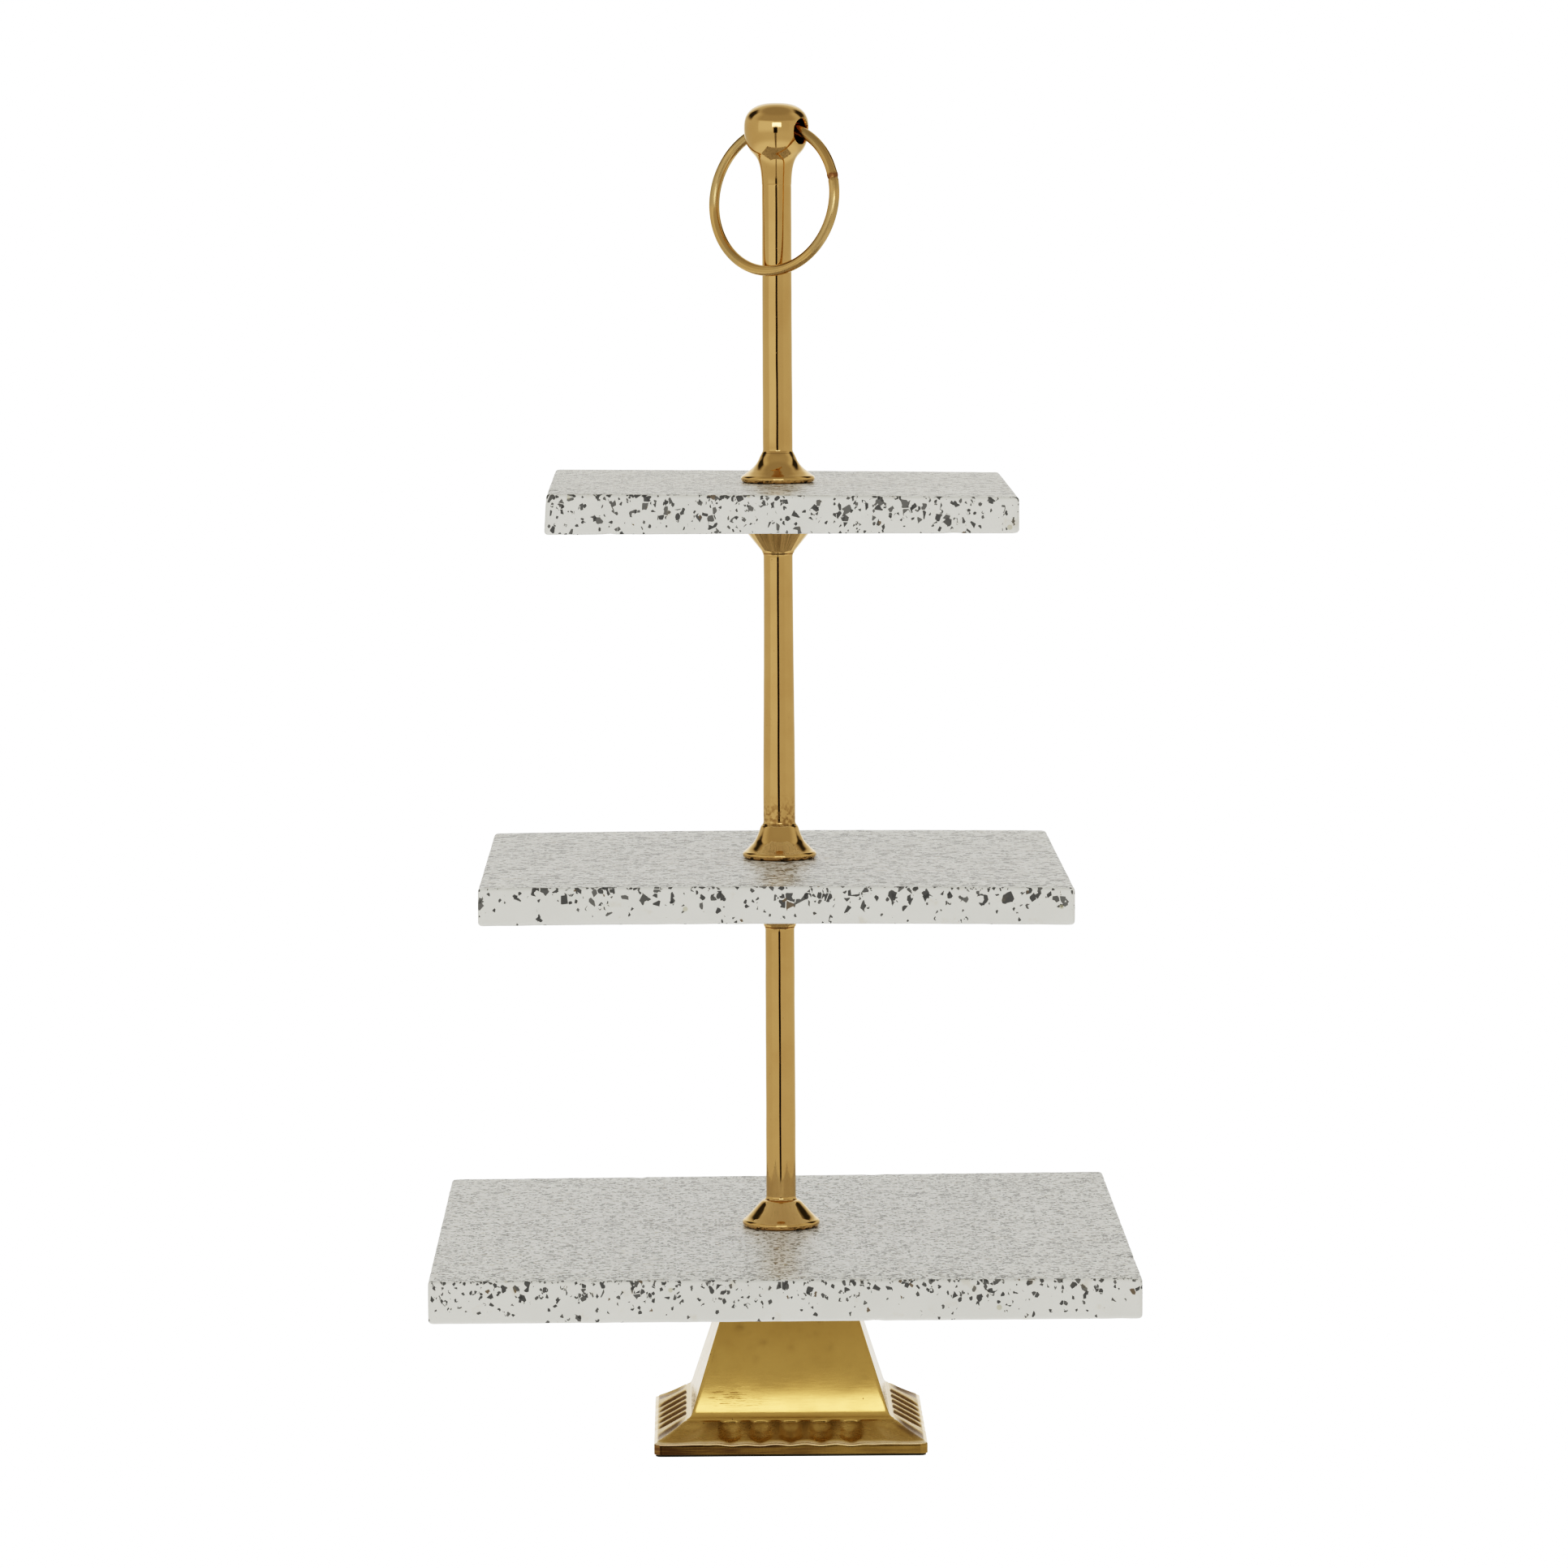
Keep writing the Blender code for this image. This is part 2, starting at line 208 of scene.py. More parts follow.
def throughPoints(points, steps):                           # a smooth curve through the given points
    ends = [2 * Vector(points[0]) - Vector(points[1]), 2 * Vector(points[-1]) - Vector(points[-2])]
    line = [ends[0]] + [Vector(point) for point in points] + [ends[1]]
    curve = []
    for a, b, c, d in zip(line, line[1:], line[2:], line[3:]):
        for k in range(steps):
            t = k / steps
            curve.append(0.5 * (2 * b + (c - a) * t + (2 * a - 5 * b + 4 * c - d) * t * t
                                + (3 * b - a - 3 * c + d) * t ** 3))
    return curve + [line[-2]]


def arc(centre, radius, start, end, steps):                 # degrees, from the outward direction
    return [(centre[0] + radius * math.cos(math.radians(start + (end - start) * k / steps)),
             centre[1] + radius * math.sin(math.radians(start + (end - start) * k / steps)))
            for k in range(steps + 1)]


def smooth(low, high, value):
    share = min(1.0, max(0.0, (value - low) / (high - low)))
    return share * share * (3 - 2 * share)


def squareWalk(half, corner, steps, arcSteps):
    # once round a rounded square from the front left corner: x, y and the outward direction
    straight = half - corner
    walk = []
    for side in range(4):
        turn = Matrix.Rotation(math.pi / 2 * side, 2)
        for k in range(steps):
            spot = Vector((-straight + 2 * straight * k / steps, -half))
            walk.append((turn @ spot, turn @ Vector((0, -1))))
        for k in range(arcSteps):
            angle = math.pi / 2 * k / arcSteps
            outward = Vector((math.sin(angle), -math.cos(angle)))
            walk.append((turn @ (Vector((straight, -straight)) + corner * outward), turn @ outward))
    return walk


def onCircle(walk, radius, centre):                         # the same spots drawn in to a circle
    return [centre + (spot - centre).normalized() * radius for spot, outward in walk]


def hang(piece, body, slot, *nodes):
    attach(piece, body)
    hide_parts(*nodes)


# terrazzo: pale cement with dark stone chips, as solid cells so that a chip runs over the edge
terrazzoLook = {
    "cement": (0.945, 0.96, 0.995), "cementShade": (0.885, 0.90, 0.93), "tan": (0.62, 0.52, 0.36),
    "chip": (0.125, 0.126, 0.136), "chipPale": (0.22, 0.22, 0.23), "chipBrown": (0.28, 0.21, 0.15),
    "topStreak": (0.56, 0.56, 0.55),    # the ground top shows more of the stone in it
    "topRough": 0.30, "sideRough": 0.38,
    "bend": 0.22,           # how far, in mm, chip edges stray from straight
}
# chips in mm: size of a cell, share of cells that hold a chip at the top and at the bottom,
# the depth range over which one fades to the other, and how much a second set of cells cuts away
slabChips = {
    "bottom": [(2.6, 0.22, 0.02, 0.15, 0.60, 0.30), (1.5, 0.16, 0.03, 0.30, 0.95, 0.25),
               (1.4, 0.20, 0.00, 0.02, 0.05, 0.15)],
    "middle": [(3.9, 0.25, 0.00, 0.30, 0.62, 0.30), (2.4, 0.17, 0.01, 0.35, 0.78, 0.25),
               (1.2, 0.03, 0.02, 0.50, 0.95, 0.10), (1.5, 0.18, 0.00, 0.02, 0.05, 0.15)],
    "top": [(3.6, 0.18, 0.09, 0.20, 0.80, 0.30), (2.4, 0.21, 0.12, 0.30, 0.90, 0.28),
            (1.2, 0.10, 0.07, 0.30, 1.00, 0.10), (1.5, 0.18, 0.00, 0.02, 0.05, 0.15)],
}


def terrazzo(tier, high, thick):
    look = terrazzoLook
    finish = newFinish(tier + "Terrazzo")
    place = finish.place()
    bent = place + (finish.clouds(place, 1.1, 2.0, output="Color") - 0.5) * (2 * look["bend"])
    shade = finish.clouds(place, 24.0, 3.0).ramp(0.40, 0.66)
    grain = finish.clouds(place, 0.55, 2.0)
    colour = finish.mix(shade * 0.45 + grain * 0.25, look["cement"], look["cementShade"])
    chipped = 0.0
    for number, (size, topShare, lowShare, start, end, cutAway) in enumerate(slabChips[tier]):
        shifted = bent * (1 / size) + (17.3 * (number + 1), 5.1 * number, 2.7)
        stretched = shifted * (1.0, 1.0, 0.85)
        chosen = finish.cells(stretched, "F1", "Color")
        depth = (high / size + 2.7 - chosen.other("Position").part(2) * (1 / 0.85)) / (thick / size)
        picked = chosen.part(0) < depth.ramp(start, end, topShare, lowShare)
        whole = finish.cells(stretched, "DISTANCE_TO_EDGE").ramp(0.035, 0.075)
        knife = finish.cells(stretched * 1.35 + (4.4, 9.2, 1.7), "F1", "Color").part(1)
        chip = picked * whole * (knife > cutAway)
        tone = finish.mix(chosen.part(1).ramp(0.45, 1.0), look["chip"], look["chipPale"])
        tone = finish.mix((chosen.part(2) > 0.975) * 0.7, tone, look["chipBrown"])
        colour = finish.mix(chip * 0.94, colour, tone)
        chipped = chip + chipped
    blobs = finish.cells(place * (1 / 7.0), "F1")
    blob = blobs.ramp(0.20, 0.13) * (blobs.other("Color").part(0) < 0.05)
    colour = finish.mix(blob * 0.55, colour, (0.60, 0.58, 0.44))
    stain = finish.clouds(place + (0, 0, 40), 9.0, 4.0).ramp(0.60, 0.76)
    colour = finish.mix(stain * 0.22, colour, look["tan"])
    pits = finish.cells(place * (1 / 2.4) + (3.1, 8.8, 0.4), "F1")
    pit = pits.ramp(0.13, 0.06) * (pits.other("Color").part(2) < 0.10)
    colour = finish.mix(pit * 0.5, colour, (0.42, 0.40, 0.36))
    upward = finish.node("ShaderNodeTexCoord", output="Normal").part(2).ramp(0.80, 0.98)
    streak = finish.clouds(place * (1.0, 0.8, 1.0), 2.6, 5.0, 0.62).ramp(0.44, 0.62)
    patchy = finish.clouds(place + (50, 0, 0), 26.0, 2.0).ramp(0.25, 0.70, 0.55, 1.0)
    colour = finish.mix(streak * patchy * upward * 0.60, colour, look["topStreak"])
    rough = upward.ramp(0.0, 1.0, look["sideRough"], look["topRough"]) + grain * 0.10 - chipped * 0.06
    height = chipped * -0.25 - pit * 1.6 + grain * 0.5 + streak * upward * 0.8
    return finish.surface(Base_Color=colour, Roughness=rough, Normal=finish.bump(height, 0.03),
                          IOR=1.42)


# how each cast slab strays from true, in mm at its edges, its thickness at the left and right, and
# how far its left side stands out at the top and at the bottom
slabShape = {
    "bottom": {"lift": 0.25, "right": 0.33, "back": 0.0, "twist": 0.58, "bow": 0.0,
               "leftThick": 18.5, "rightThick": 17.5, "leftOut": (0.0, 0.0)},
    "middle": {"lift": 0.35, "right": -0.27, "back": -0.39, "twist": 0.25, "bow": 0.75,
               "leftThick": 16.3, "rightThick": 16.1, "leftOut": (1.5, 1.6)},
    "top": {"lift": 0.0, "right": -1.13, "back": 0.49, "twist": 0.0, "bow": 0.15,
            "leftThick": 17.6, "rightThick": 15.7, "leftOut": (0.0, 1.0)},
}
slabEdge = {
    "corner": 3.0, "arris": 1.5, "hole": 4.2, "station": 2.2, "arcSteps": 6, "wander": 0.22,
    "nicks": 26, "nickWide": (1.2, 3.2), "nickDepth": 0.7,
    "flatTo": 20.0, "warpedFrom": 45.0,     # true out to one distance from the pole, then warped
    "brokenIn": 2.6, "brokenFacing": (0.55, -0.25, -0.80),  # the corner broken off the top slab
}


def slab(tier, seed):
    low, high = boxOf(tier + "_slab")
    half = (high.x - low.x) / 2
    middle = Vector(((low.x + high.x) / 2, (low.y + high.y) / 2))
    shape = slabShape[tier]
    edge = slabEdge
    steps = round(2 * half / edge["station"])
    dice = random.Random(seed)
    around = 8 * half
    nicks = [(dice.uniform(0, around), dice.uniform(*edge["nickWide"]),
              dice.random() ** 2 * edge["nickDepth"]) for _ in range(edge["nicks"])]

    def warped(x, y):                                       # 0 near the pole, 1 further out
        return smooth(edge["flatTo"], edge["warpedFrom"], math.hypot(x, y))

    def topAt(x, y):
        across, back = x / half, y / half
        rise = shape["lift"] + shape["right"] * across + shape["back"] * back
        rise += shape["twist"] * across * back - shape["bow"] * across * across
        return high.z + rise * warped(x, y)

    def thickAt(x, y):
        span = (shape["rightThick"] - shape["leftThick"]) / 2
        wanted = (shape["rightThick"] + shape["leftThick"]) / 2 + span * x / half
        plain = high.z - low.z
        return plain + (wanted - plain) * warped(x, y)

    loops = []

    def addLoop(inset, downShare, down, facing):
        # downShare is the way from the top to the underside, down is mm below the top surface
        loop = []
        walk = squareWalk(half - inset, max(0.4, edge["corner"] - inset), steps, edge["arcSteps"])
        for number, (spot, outward) in enumerate(walk):
            run = around * number / len(walk)
            worn = 0.0
            if facing:
                worn = edge["wander"] * (noise.noise(Vector((run / 9, seed, facing))) + 0.5) * 0.6
                for where, width, depth in nicks:
                    if abs(run - where) < 3 * width and (where * 7 % 2 < 1) == (facing > 0):
                        worn += depth * math.exp(-((run - where) / width) ** 2)
                worn = max(0.0, worn)
            flat = spot - outward * (worn * 0.7)
            flat -= outward * (0.10 + 0.10 * noise.noise(Vector((spot.x / 30, spot.y / 30, seed))))
            z = topAt(flat.x, flat.y) - downShare * thickAt(flat.x, flat.y) - down
            above, below = shape["leftOut"]
            flat.x -= (above + (below - above) * downShare) * smooth(0, half, -flat.x)
            loop.append(Vector((flat.x + middle.x, flat.y + middle.y, z - worn * 0.7 * facing)))
        loops.append(loop)

    arris = edge["arris"]
    arrisSteps = 5
    for k in range(arrisSteps + 1):                         # worn top edge
        angle = math.pi / 2 * k / arrisSteps
        addLoop(arris * (1 - math.sin(angle)), 0.0, arris * (1 - math.cos(angle)), 1)
    for share in (0.3, 0.5, 0.7):
        addLoop(0.0, share, 0.0, 0)
    for k in range(arrisSteps + 1):                         # worn bottom edge
        angle = math.pi / 2 * (1 - k / arrisSteps)
        addLoop(arris * (1 - math.sin(angle)), 1.0, -arris * (1 - math.cos(angle)), -1)
    pole = -middle                                          # the hole is on the pole, not on the middle
    inward = (0.2, 0.4, 0.6, 0.75, 0.87, 1.0)               # shares of the way in to the hole
    for side, shares in ((1, inward), (0, inward[::-1])):   # the underside, then the top
        walk = squareWalk(half - arris, edge["corner"] - arris, steps, edge["arcSteps"])
        circle = onCircle(walk, edge["hole"], pole)
        for share in shares:
            loop = []
            for (spot, outward), inner in zip(walk, circle):
                flat = spot.lerp(inner, share)
                z = topAt(flat.x, flat.y) - side * thickAt(flat.x, flat.y)
                loop.append(Vector((flat.x + middle.x, flat.y + middle.y, z)))
            loops.append(loop)
    if tier == "top":                                       # the broken lower right corner in front
        spot = Vector((half + middle.x - edge["brokenIn"], -half, low.z))
        facing = Vector(edge["brokenFacing"]).normalized()
        for loop in loops:
            for point in loop:
                beyond = (point - spot).dot(facing)
                if beyond > 0:
                    point -= facing * beyond
    piece = skin(tier + "_slab_cast", loops, terrazzo(tier, high.z, high.z - low.z))
    hang(piece, "stand", "terrazzo", tier + "_slab")


for number, tier in enumerate(("bottom", "middle", "top")):
    slab(tier, number + 3)
print("slabs cast")


# brass: one polish for everything turned or drawn, another for the casting
brassLook = {
    "colour": (0.755, 0.540, 0.285), "deep": (0.68, 0.47, 0.24), "tarnish": (0.30, 0.17, 0.07),
    "rough": 0.05, "haze": 0.04,       # mirror roughness, and what the polishing haze adds
    "lines": 0.0006, "orange": 0.002,   # height in mm of polishing lines and of slow waviness
}


def brassTones(finish, place, look):
    clouds = finish.clouds(place, 14.0, 4.0).ramp(0.35, 0.72)
    spots = finish.clouds(place + (31, 7, 2), 0.9, 3.0).ramp(0.70, 0.78)
    rare = finish.clouds(place, 9.0, 1.0).ramp(0.50, 0.62)
    colour = finish.mix(clouds * 0.55, look["colour"], look["deep"])
    return finish.mix(spots * rare * 0.75, colour, look["tarnish"]), clouds, spots * rare


def polishedBrass(name, turnedLines, stain=None):
    # turnedLines: marks run round the piece from the lathe, or else along the tube
    look = brassLook
    finish = newFinish(name)
    place = finish.place()
    colour, clouds, spots = brassTones(finish, place, look)
    if turnedLines:
        reach = finish.node("ShaderNodeVectorMath", {"operation": "LENGTH"},
                            {0: place * (1.0, 1.0, 0.0)}, "Value")
        way = finish.node("ShaderNodeCombineXYZ", {}, {0: reach * 3.0, 1: place.part(2) * 3.0})
    else:
        way = place * (1.6, 1.6, 0.035)
    lines = finish.clouds(way, 1.0, 3.0, 0.6)
    rough = look["rough"] + clouds * look["haze"] + lines.ramp(0.35, 0.8) * 0.05 + spots * 0.25
    if stain:                                               # a mottled patina just above a collar
        low, fadeStart, fadeEnd = stain
        patchy = finish.clouds(place + (0, 11, 0), 1.7, 4.0).ramp(0.42, 0.62)
        near = place.part(2).ramp(low + fadeStart, low + fadeEnd, 1.0, 0.0)
        colour = finish.mix(patchy * near * 0.55, colour, look["tarnish"])
        rough = rough + patchy * near * 0.16
    height = lines * look["lines"] + finish.clouds(place, 3.0, 2.0) * look["orange"] - spots * 0.02
    return finish.surface(Base_Color=colour, Metallic=1.0, Roughness=rough,
                          Normal=finish.bump(height, 1.0))


latheBrass = polishedBrass("latheBrass", True)


# collars: rim radius and rim bead height, and the flank from the lip round the pole to the bead
collarShape = {
    "bottom": {"rim": 17.3, "bead": 3.6,
               "flank": ((7.1, 11.8), (8.5, 11.2), (10.6, 9.1), (12.9, 6.6), (14.9, 4.5))},
    "middle": {"rim": 16.4, "bead": 3.4,
               "flank": ((7.75, 14.6), (8.3, 13.9), (9.1, 11.6), (10.0, 9.4), (11.3, 7.1), (13.9, 4.4))},
    "top": {"rim": 16.4, "bead": 3.4,
            "flank": ((7.1, 12.8), (7.8, 11.5), (8.8, 9.3), (10.1, 7.4), (11.8, 5.7), (13.9, 4.1))},
}
turnedSize = {"segments": 96, "wall": 2.2, "socket": 2.0, "poleFit": 6.75, "studHole": 3.3,
              "padRoom": 14.8, "padDepth": 1.2, "spigotLong": 12.0}


def collar(tier):
    shape = collarShape[tier]
    low, high = boxOf(tier + "_collar")
    size = turnedSize
    lip = shape["flank"][0]
    top = high.z
    scale = (top - low.z) / lip[1]
    outer = [(size["poleFit"], top - 0.25), (size["poleFit"] + 0.12, top - 0.05)]
    outer += [(point.x, low.z + point.y * scale) for point in throughPoints(shape["flank"], 6)]
    beadR = shape["bead"] / 2                               # the rim bead is a half round
    outer += arc((shape["rim"] - beadR, low.z + beadR - 0.2), beadR, 68, -82, 16)
    inner = [(size["padRoom"], low.z), (size["padRoom"], low.z + size["padDepth"]),
             (size["studHole"], low.z + size["padDepth"]), (size["studHole"], top - size["socket"]),
             (size["poleFit"], top - size["socket"])]
    loops = spun(outer + inner, size["segments"])
    piece = skin(tier + "_collar_turned", loops, latheBrass, 42.0)
    hang(piece, "stand", "polished_brass", tier + "_collar")


coneShape = {"rim": 16.4, "rimHigh": 1.6, "lip": 7.15, "step": 0.8, "roundOff": 0.5}


def cone(tier):
    low, high = boxOf(tier + "_support_cone")
    shape = coneShape
    size = turnedSize
    bottom, top = low.z, high.z
    r = shape["roundOff"]
    rim = shape["rim"]
    outer = arc((rim - r, top - r), r, 90, 0, 5) + arc((rim - r, top - shape["rimHigh"]), r, 0, -48, 4)
    lip, step = shape["lip"], bottom + shape["step"]
    outer += [(lip + 0.5, step + 0.5), (lip + 0.1, step), (lip, bottom + 0.25), (lip - 0.15, bottom)]
    outer.append((size["poleFit"], bottom))
    inner = [(size["poleFit"], bottom + size["socket"]), (size["studHole"], bottom + size["socket"]),
             (size["studHole"], top - size["padDepth"]), (size["padRoom"], top - size["padDepth"]),
             (size["padRoom"], top)]
    piece = skin(tier + "_cone_turned", spun(outer + inner, size["segments"]), latheBrass, 42.0)
    hang(piece, "stand", "polished_brass", tier + "_support_cone")


for tier in collarShape:
    collar(tier)
for tier in ("middle", "top"):
    cone(tier)
print("collars and cones turned")


# poles: drawn tube with a hand-polished waver, and a small flare where an end shows
poleLook = {"radius": 6.50, "bore": 5.2, "flare": 0.50, "flareLong": 1.6, "flarePower": 2.2,
            "station": 1.4, "flareSteps": 6, "segments": 72, "gap": 0.08,
            "ripple": 0.05, "rippleLong": 13.0, "sway": 0.10, "swayLong": 70.0}


def pole(name, under, over, spread, stain=None):           # spread: how much wider it is low down, in mm
    low, high = boxOf(name)
    look = poleLook
    showLow = boxOf(under)[1].z + look["gap"]               # where it comes out of the collar
    showHigh = boxOf(over)[0].z - look["gap"] if over else math.inf
    count = round((high.z - low.z) / look["station"])
    heights = [low.z + (high.z - low.z) * k / count for k in range(count + 1)]
    flare = [look["flareLong"] * k / look["flareSteps"] for k in range(look["flareSteps"] + 1)]
    heights += [showLow + away for away in flare]
    if over:
        heights += [showHigh - away for away in flare]
    heights = sorted(set(round(height, 3) for height in heights))
    seed = low.z

    def waver(angle, z):
        if z <= low.z + 0.01 or z >= high.z - 0.01:
            return 0.0
        turn = Vector((math.cos(angle), math.sin(angle), 0)) * 0.9
        ripple = noise.noise(turn + Vector((0, seed, z / look["rippleLong"])))
        sway = noise.noise(turn * 0.6 + Vector((5, seed, z / look["swayLong"])))
        return (look["ripple"] * ripple + look["sway"] * sway) * smooth(showLow, showLow + 4, z)

    profile = []
    for z in heights:
        reach = look["radius"]
        if z > showLow - 0.01:
            reach += spread * (1 - smooth(showLow, high.z, z))
        for away in (z - showLow, showHigh - z):
            if 0 <= away < look["flareLong"]:
                reach += look["flare"] * (1 - away / look["flareLong"]) ** look["flarePower"]
        profile.append((reach, z))
    if not over:
        profile[-1] = (profile[-1][0], boxOf("ball_finial")[0].z + turnedSize["spigotLong"] - 0.05)
    loops = spun(profile, look["segments"], waver)
    loops += spun([(look["bore"], profile[-1][1]), (look["bore"], low.z)], look["segments"])
    piece = skin(name + "_tube", loops, polishedBrass(name + "Brass", False, stain), 50.0)
    hang(piece, "stand", "polished_brass", name)


pole("lower_pole", "bottom_collar", "middle_support_cone", 0.15)
pole("upper_pole", "middle_collar", "top_support_cone", 0.60, (boxOf("middle_collar")[1].z, 3.0, 16.0))
pole("handle_pole", "top_collar", None, 0.10)
print("poles drawn")


# ball finial: the widest level, the dome above it, the belly below it, the flared neck
ringHinge = frame["joints"][0]
hingeLine = Vector(ringHinge["axis"]).normalized()
hingeAt = Vector(ringHinge["pos_m"]) / mm
ballShape = {
    "radius": 14.3, "widest": 581.9, "dome": 11.0, "domePower": 2.5, "belly": 15.0, "bellyPower": 2.3,
    "neck": 570.2, "flare": 3.4, "fall": 4.0, "tube": 6.45, "spigot": 4.9,
    "hole": 5.0, "mouth": 10.4, "mouthFlare": 0.075, "segments": 112,
    "domeSteps": 24, "bellySteps": 18, "drillReach": 18, "drillSegments": 64,
}


def ballProfile():
    shape = ballShape
    foot = boxOf("ball_finial")[0].z + turnedSize["spigotLong"]
    profile = []
    for k in range(shape["domeSteps"] + 1):
        angle = math.pi / 2 * k / shape["domeSteps"]
        profile.append((shape["radius"] * math.sin(angle) ** (2 / shape["domePower"]),
                        shape["widest"] + shape["dome"] * math.cos(angle) ** (2 / shape["domePower"])))
    drop = shape["widest"] - shape["neck"]
    for k in range(1, shape["bellySteps"] + 1):
        down = drop * k / shape["bellySteps"]
        share = 1 - (down / shape["belly"]) ** shape["bellyPower"]
        profile.append((shape["radius"] * share ** (1 / shape["bellyPower"]), shape["widest"] - down))
    start = Vector(profile[-1])
    neck = [start]
    for down in (1.6, 3.6, 6.6, 10.4, 13.0):
        z = max(shape["neck"] - down, foot + 0.05)
        neck.append(Vector((shape["tube"] + shape["flare"] * math.exp(-down / shape["fall"]), z)))
    neck.append(Vector((shape["tube"] + 0.02, foot)))
    profile += [tuple(point) for point in throughPoints(neck, 4)[1:]]
    shown = len(profile)
    profile += [(shape["spigot"], foot), (shape["spigot"], foot - turnedSize["spigotLong"]),
                (0.0, foot - turnedSize["spigotLong"])]
    return profile, shown


def holeReach(along):                                       # the cross hole opens slightly at its mouths
    return ballShape["hole"] + ballShape["mouthFlare"] * max(0.0, abs(along) - ballShape["mouth"]) ** 2


def ballFinial():
    shape = ballShape
    profile, shown = ballProfile()
    profile[0] = (0.0, profile[0][1])
    finish = polishedBrass("ballBrass", True)
    piece = skin("ball_finial_turned", spun(profile, shape["segments"]), finish, 50.0, closed=False)
    side = hingeLine.cross(Vector((0, 0, 1)))
    reach = shape["drillReach"]
    loops = []
    for along in range(-reach, reach + 1):
        loop = []
        for k in range(shape["drillSegments"]):
            angle = math.tau * k / shape["drillSegments"]
            spoke = side * math.cos(angle) + Vector((0, 0, math.sin(angle)))
            loop.append(hingeAt + hingeLine * along + spoke * holeReach(along))
        loops.append(loop)
    tips = [[hingeAt + hingeLine * -reach], [hingeAt + hingeLine * reach]]
    drill = skin("drill", [tips[0]] + loops + [tips[1]], finish, closed=False)
    cut = piece.modifiers.new("crossHole", "BOOLEAN")
    cut.operation = "DIFFERENCE"
    cut.object = drill
    graph = bpy.context.evaluated_depsgraph_get()
    mesh = bpy.data.meshes.new_from_object(piece.evaluated_get(graph))
    piece.modifiers.clear()
    piece.data = mesh
    bpy.data.objects.remove(drill)

    # true normals for both surfaces, so that the mirror polish shows no facets at the cut
    curve = [Vector(point) for point in profile[:shown]]
    normals = []
    for face in mesh.polygons:
        centre = face.center / mm - hingeAt
        along = centre.dot(hingeLine)
        wall = abs((centre - hingeLine * along).length - holeReach(along)) < 0.12
        for index in face.vertices:
            point = mesh.vertices[index].co / mm
            if wall:
                away = point - hingeAt
                along = away.dot(hingeLine)
                spoke = (away - hingeLine * along).normalized()
                steep = (holeReach(along + 0.01) - holeReach(along - 0.01)) / 0.02
                normals.append((hingeLine * steep - spoke).normalized())
                continue
            flat = Vector((point.x, point.y, 0))
            spot = Vector((flat.length, point.z))
            if spot.y < curve[-1].y + 0.02:
                normals.append(face.normal.copy())
                continue
            nearest = min(range(len(curve) - 1), key=lambda k: (
                (curve[k] + curve[k + 1]) / 2 - spot).length)
            before, after = curve[max(0, nearest - 1)], curve[min(len(curve) - 1, nearest + 2)]
            span = curve[nearest + 1] - curve[nearest]
            t = min(1.0, max(0.0, (spot - curve[nearest]).dot(span) / span.length_squared))
            startSlope = (curve[nearest + 1] - before).normalized()
            endSlope = (after - curve[nearest]).normalized()
            slope = startSlope.lerp(endSlope, t)
            outward = flat.normalized() if flat.length > 1e-6 else Vector((1, 0, 0))
            normals.append((outward * -slope.y + Vector((0, 0, slope.x))).normalized())
    mesh.shade_smooth()
    mesh.normals_split_custom_set(normals)
    hang(piece, "stand", "polished_brass", "ball_finial")


ballFinial()
print("ball finial turned and drilled")


# lifting ring: bent wire, butt-welded
ringShape = {"steps": 288, "round": 28, "stray": 0.12, "waver": 0.05,
             "weldAt": 18.7, "weldBulge": 0.14, "weldNotch": 0.34}


def ringFinish():
    look = brassLook
    finish = newFinish("ringBrass")
    place = finish.place()
    colour, clouds = brassTones(finish, place, look)[:2]
    dull = finish.clouds(place + (3, 0, 8), 16.0, 3.0).ramp(0.40, 0.60)
    colour = finish.mix(dull * 0.45, colour, (0.50, 0.42, 0.27))
    weld = finish.node("ShaderNodeAttribute", {"attribute_name": "weld"}, output="Fac")
    burnt = (weld * (0.5 + finish.clouds(place, 0.9, 3.0))).ramp(0.55, 0.95)
    colour = finish.mix(burnt * 0.75, colour, (0.28, 0.12, 0.06))
    rough = 0.13 + dull * 0.12 + clouds * 0.05 + burnt * 0.25
    height = finish.clouds(place, 1.6, 2.0) * 0.003 + burnt * -0.02
    return finish.surface(Base_Color=colour, Metallic=1.0, Roughness=rough,
                          Normal=finish.bump(height, 1.0))


